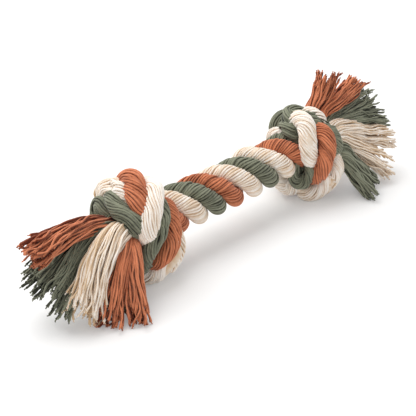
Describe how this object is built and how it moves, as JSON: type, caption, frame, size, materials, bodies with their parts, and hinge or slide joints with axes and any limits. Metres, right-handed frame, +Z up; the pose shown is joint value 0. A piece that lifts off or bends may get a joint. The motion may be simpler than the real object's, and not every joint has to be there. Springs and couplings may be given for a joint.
{
  "type": "rope dog toy",
  "caption": "Rope dog toy: a thick laid cotton rope in cream, green and rust with a big knot near each end and loose yarn tassels beyond the knots.",
  "frame": {"origin": "on the floor, under the middle of the toy's bounding box as it lies", "axes": "+X along the rope from the left tassel to the right one, +Y towards the back, +Z up"},
  "size_m": [0.27, 0.0648, 0.0712],
  "materials": {
    "cream_cotton": "soft twisted cotton yarn",
    "green_cotton": "soft twisted cotton yarn",
    "rust_cotton": "soft twisted cotton yarn"
  },
  "bodies": {
    "left_half": {"rope_left_green": "green_cotton", "rope_middle_green": "green_cotton", "rope_left_rust": "rust_cotton", "rope_middle_rust": "rust_cotton", "rope_left_cream": "cream_cotton", "rope_middle_cream": "cream_cotton", "left_knot_cream_over": "cream_cotton", "left_knot_green_cross": "green_cotton", "left_knot_rust_over": "rust_cotton", "left_knot_green_side": "green_cotton", "left_knot_rust_side": "rust_cotton", "left_knot_cream_low": "cream_cotton", "left_knot_cream_back": "cream_cotton", "left_knot_green_under": "green_cotton", "left_knot_rust_rear": "rust_cotton", "left_knot_cream_rear": "cream_cotton", "left_knot_green_rear": "green_cotton", "left_tassel_rust_high_root": "rust_cotton", "left_tassel_cream_main_root": "cream_cotton", "left_tassel_green_main_root": "green_cotton", "left_tassel_rust_front_root": "rust_cotton", "left_tassel_green_low_root": "green_cotton", "left_tassel_cream_low_root": "cream_cotton"},
    "right_half": {"rope_right_green": "green_cotton", "rope_right_rust": "rust_cotton", "rope_right_cream": "cream_cotton", "right_knot_cream_front": "cream_cotton", "right_knot_green_loop": "green_cotton", "right_knot_rust_front": "rust_cotton", "right_knot_cream_low": "cream_cotton", "right_knot_green_bottom": "green_cotton", "right_knot_cream_top": "cream_cotton", "right_knot_green_neck": "green_cotton", "right_knot_cream_neck": "cream_cotton", "right_knot_rust_under": "rust_cotton", "right_knot_green_under": "green_cotton", "right_knot_rust_rear": "rust_cotton", "right_knot_cream_rear": "cream_cotton", "right_tassel_rust_high_root": "rust_cotton", "right_tassel_rust_low_root": "rust_cotton", "right_tassel_green_high_root": "green_cotton", "right_tassel_green_mid_root": "green_cotton", "right_tassel_cream_high_root": "cream_cotton", "right_tassel_green_low_root": "green_cotton", "right_tassel_rust_back_root": "rust_cotton"},
    "left_tassel": {"left_tassel_rust_high_tips": "rust_cotton", "left_tassel_cream_main_tips": "cream_cotton", "left_tassel_green_main_tips": "green_cotton", "left_tassel_rust_front_tips": "rust_cotton", "left_tassel_rust_side_tips": "rust_cotton", "left_tassel_green_low_tips": "green_cotton", "left_tassel_cream_low_tips": "cream_cotton"},
    "right_tassel": {"right_tassel_rust_high_tips": "rust_cotton", "right_tassel_rust_low_tips": "rust_cotton", "right_tassel_green_high_tips": "green_cotton", "right_tassel_green_mid_tips": "green_cotton", "right_tassel_cream_high_tips": "cream_cotton", "right_tassel_cream_low_tips": "cream_cotton", "right_tassel_green_low_tips": "green_cotton", "right_tassel_rust_back_tips": "rust_cotton"}
  },
  "joints": [
    {"name": "rope_bend", "type": "hinge", "parent": "left_half", "child": "right_half", "pos_m": [0.00412, 0.00814, 0.0283], "axis": [0, 0, 1], "range_deg": [-25, 25], "stiffness_Nm_per_rad": 0.08, "deforming": ["rope_middle_green", "rope_middle_rust", "rope_middle_cream"]},
    {"name": "left_tassel_sway", "type": "hinge", "parent": "left_half", "child": "left_tassel", "pos_m": [-0.07988, 0.00814, 0.0283], "axis": [0, 0, 1], "range_deg": [-15, 15], "stiffness_Nm_per_rad": 0.01, "deforming": ["left_tassel_rust_high_root", "left_tassel_cream_main_root", "left_tassel_green_main_root", "left_tassel_rust_front_root", "left_tassel_green_low_root", "left_tassel_cream_low_root"]},
    {"name": "right_tassel_sway", "type": "hinge", "parent": "right_half", "child": "right_tassel", "pos_m": [0.08812, 0.00814, 0.0283], "axis": [0, 0, 1], "range_deg": [-15, 15], "stiffness_Nm_per_rad": 0.01, "deforming": ["right_tassel_rust_high_root", "right_tassel_rust_low_root", "right_tassel_green_high_root", "right_tassel_green_mid_root", "right_tassel_cream_high_root", "right_tassel_green_low_root", "right_tassel_rust_back_root"]}
  ]
}
